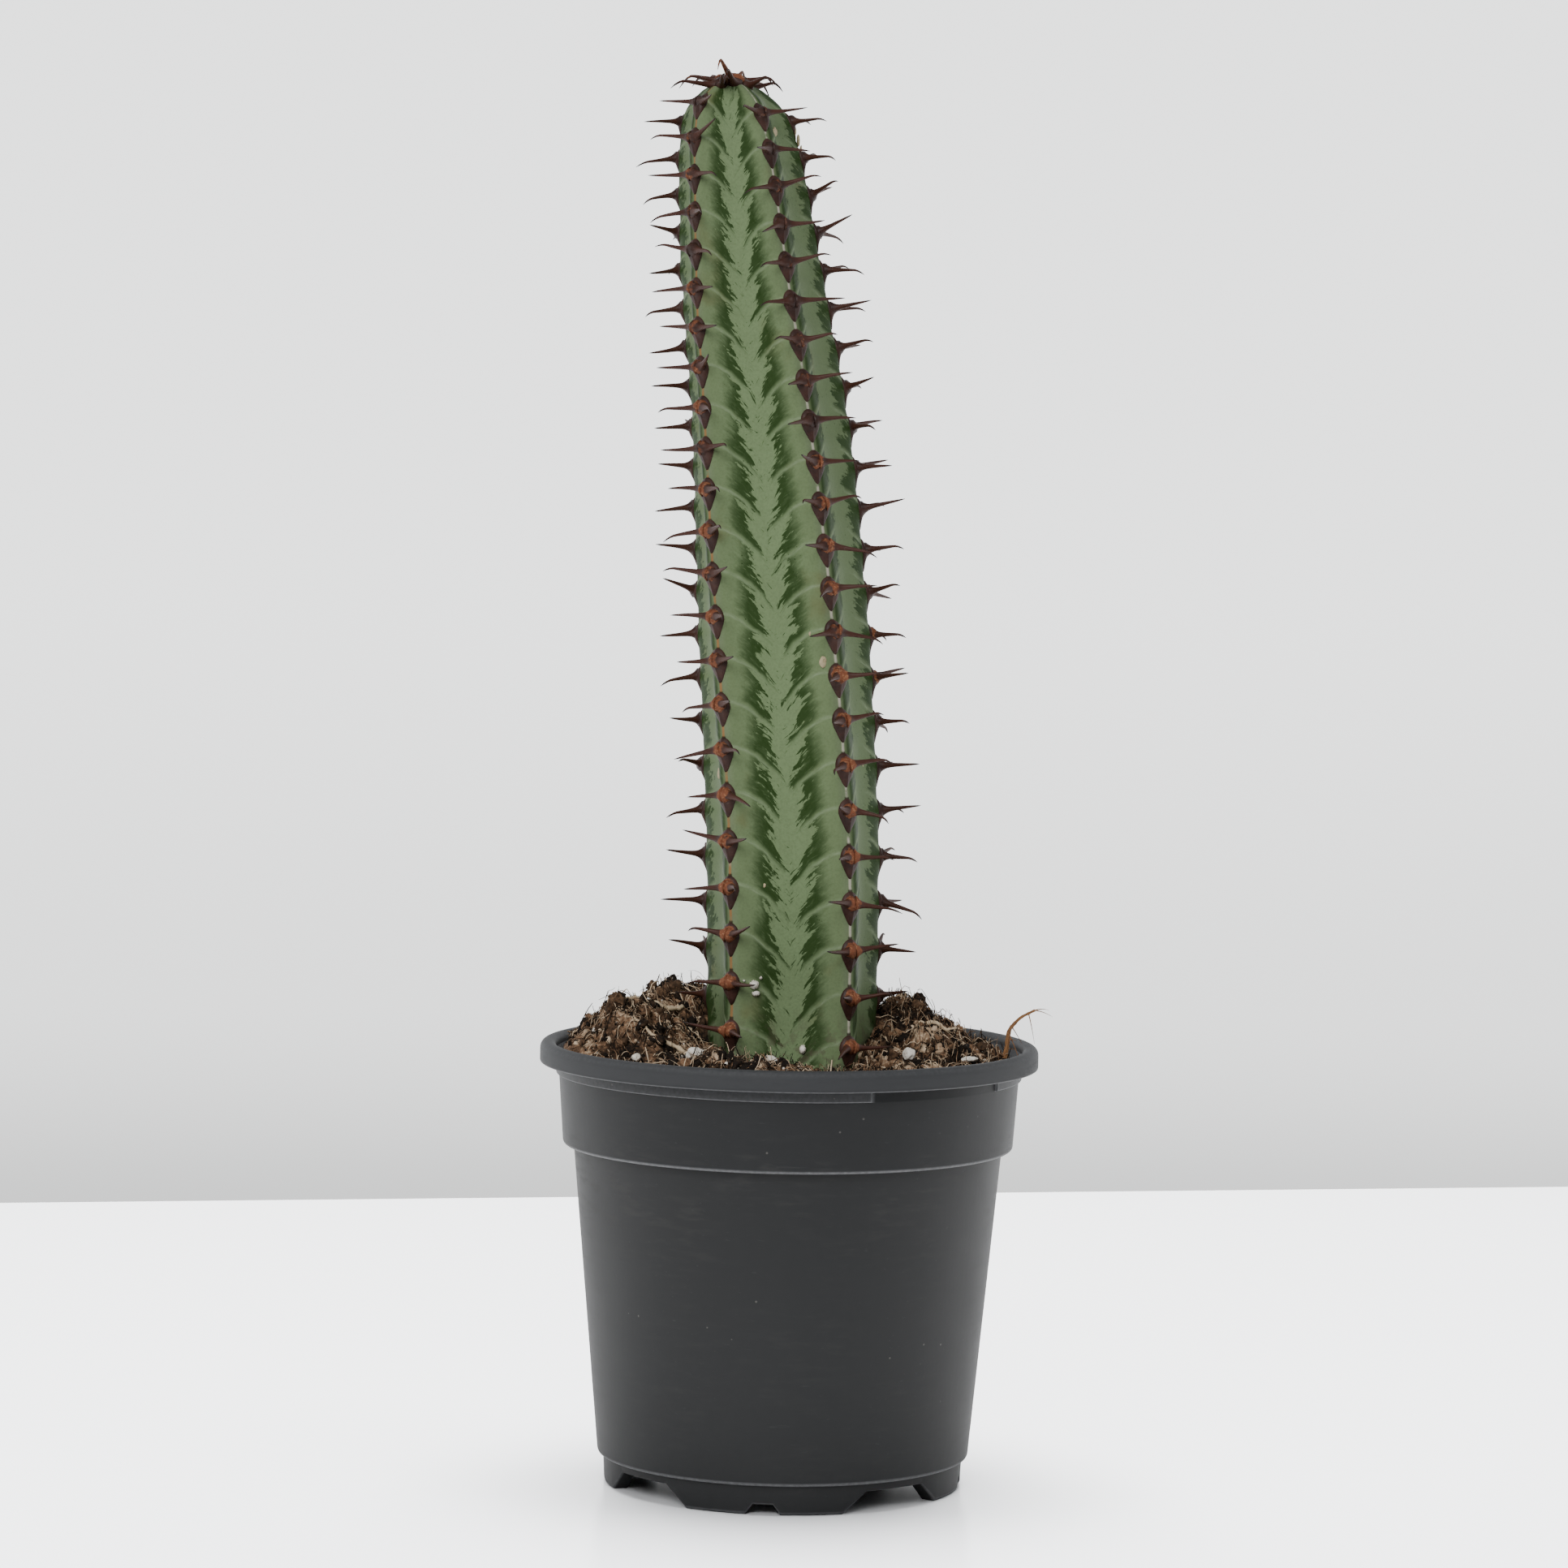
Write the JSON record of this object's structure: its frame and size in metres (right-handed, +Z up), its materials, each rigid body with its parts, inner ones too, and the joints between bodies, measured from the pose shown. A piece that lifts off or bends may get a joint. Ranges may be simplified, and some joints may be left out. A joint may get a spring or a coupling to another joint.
{
  "type": "potted euphorbia",
  "caption": "Tall ribbed green succulent column with paired brown spines, leaning in a round charcoal nursery pot of heaped peat.",
  "frame": {"origin": "on the floor at the centre of the pot, under its feet", "axes": "+Z up along the pot's axis, -Y towards the plant's widest face, +X to the right of someone who looks at that face"},
  "size_m": [0.14, 0.14, 0.392],
  "materials": {
    "pot_plastic": "satin",
    "peat": "matte",
    "stem_skin": "matte",
    "horn": "satin",
    "perlite": "matte",
    "bark": "matte",
    "root": "matte"
  },
  "bodies": {
    "root": {"nursery_pot": "pot_plastic", "potting_soil": "peat", "euphorbia_stem": "stem_skin", "spine_row_front_left": "horn", "spine_row_front_right": "horn", "spine_row_right": "horn", "spine_row_back": "horn", "spine_row_left": "horn", "perlite_1": "perlite", "perlite_2": "perlite", "perlite_3": "perlite", "perlite_4": "perlite", "perlite_5": "perlite", "perlite_6": "perlite", "bark_chip_1": "bark", "bark_chip_2": "bark", "bark_chip_3": "bark", "bare_root_1": "root", "bare_root_2": "root", "bare_root_3": "root", "dry_twig": "root"}
  },
  "joints": []
}
